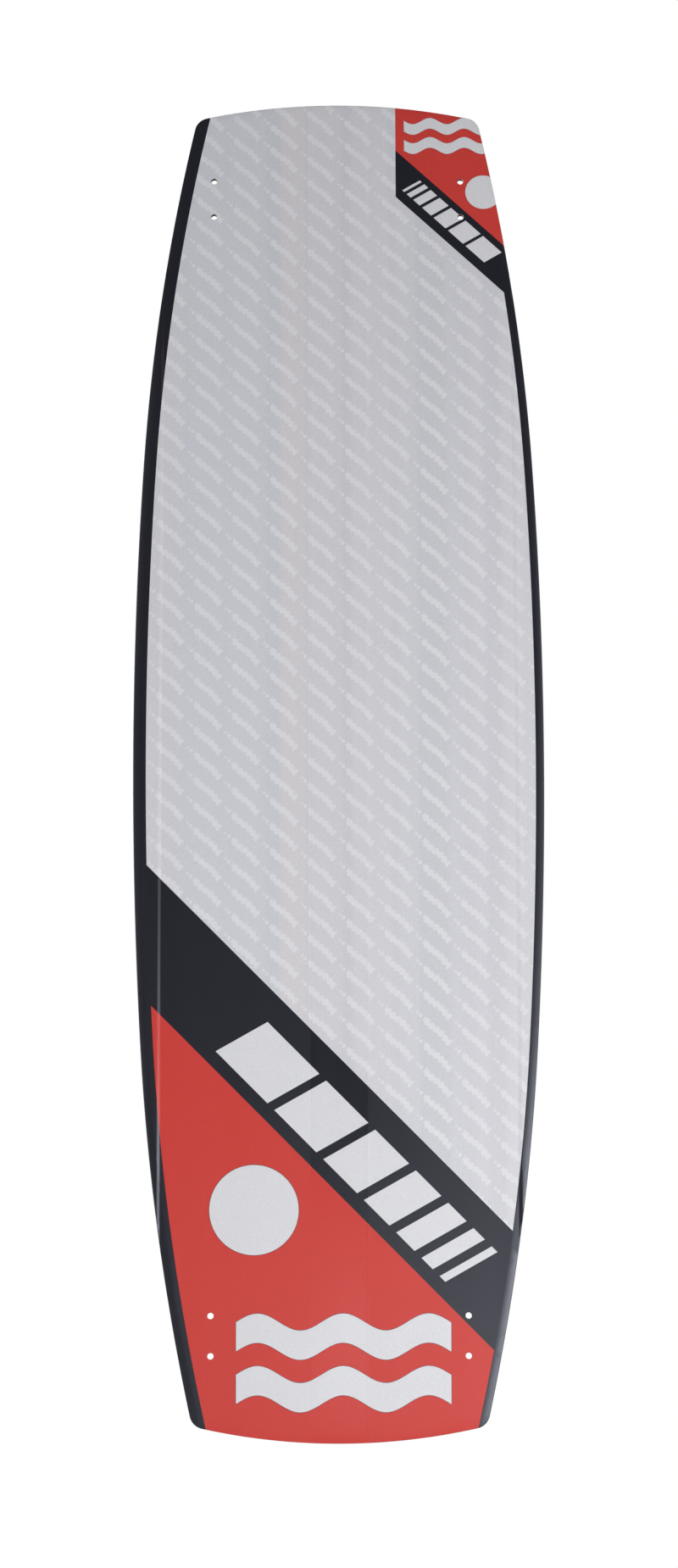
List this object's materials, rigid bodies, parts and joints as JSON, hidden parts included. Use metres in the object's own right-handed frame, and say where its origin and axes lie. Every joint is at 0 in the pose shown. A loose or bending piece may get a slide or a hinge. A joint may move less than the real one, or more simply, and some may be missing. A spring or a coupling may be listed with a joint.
{
  "type": "kiteboard",
  "caption": "Bare twin-tip kiteboard: wood-strip core in a ring of rails, glass laminates, printed base sheet and deck sheet, with fin holes and threaded inserts.",
  "frame": {"origin": "middle of the deck surface, half way between the two handle inserts", "axes": "the board stands upright on its tail: +Z along its length towards the nose, +X across its width, +Y through its thickness from base to deck, out of the deck"},
  "size_m": [0.42, 0.0425, 1.4],
  "materials": {
    "printed_base": "satin printed",
    "deck_sheet": "satin",
    "glass_laminate": "cured glass and epoxy",
    "rail_abs": "machined",
    "fin_block_abs": "machined",
    "paulownia": "sanded",
    "ash": "sanded",
    "brass": "turned"
  },
  "bodies": {
    "root": {"base_sheet": "printed_base", "base_laminate": "glass_laminate", "deck_laminate": "glass_laminate", "deck_sheet": "deck_sheet", "sidewall_left": "rail_abs", "sidewall_right": "rail_abs", "tip_rail_nose": "rail_abs", "tip_rail_tail": "rail_abs", "core_strip_middle_1": "paulownia", "core_strip_middle_2": "paulownia", "core_strip_middle_3": "paulownia", "core_strip_middle_4": "paulownia", "core_strip_left_1": "paulownia", "core_strip_left_2": "paulownia", "core_strip_left_3": "paulownia", "core_strip_left_4": "paulownia", "core_strip_right_1": "paulownia", "core_strip_right_2": "paulownia", "core_strip_right_3": "paulownia", "core_strip_right_4": "paulownia", "stringer_left": "ash", "stringer_right": "ash", "fin_block_nose_left": "fin_block_abs", "fin_block_nose_right": "fin_block_abs", "fin_block_tail_left": "fin_block_abs", "fin_block_tail_right": "fin_block_abs", "insert_patch_nose": "glass_laminate", "insert_patch_tail": "glass_laminate", "strap_inserts_nose": "brass", "strap_inserts_tail": "brass", "handle_inserts": "brass"}
  },
  "joints": []
}
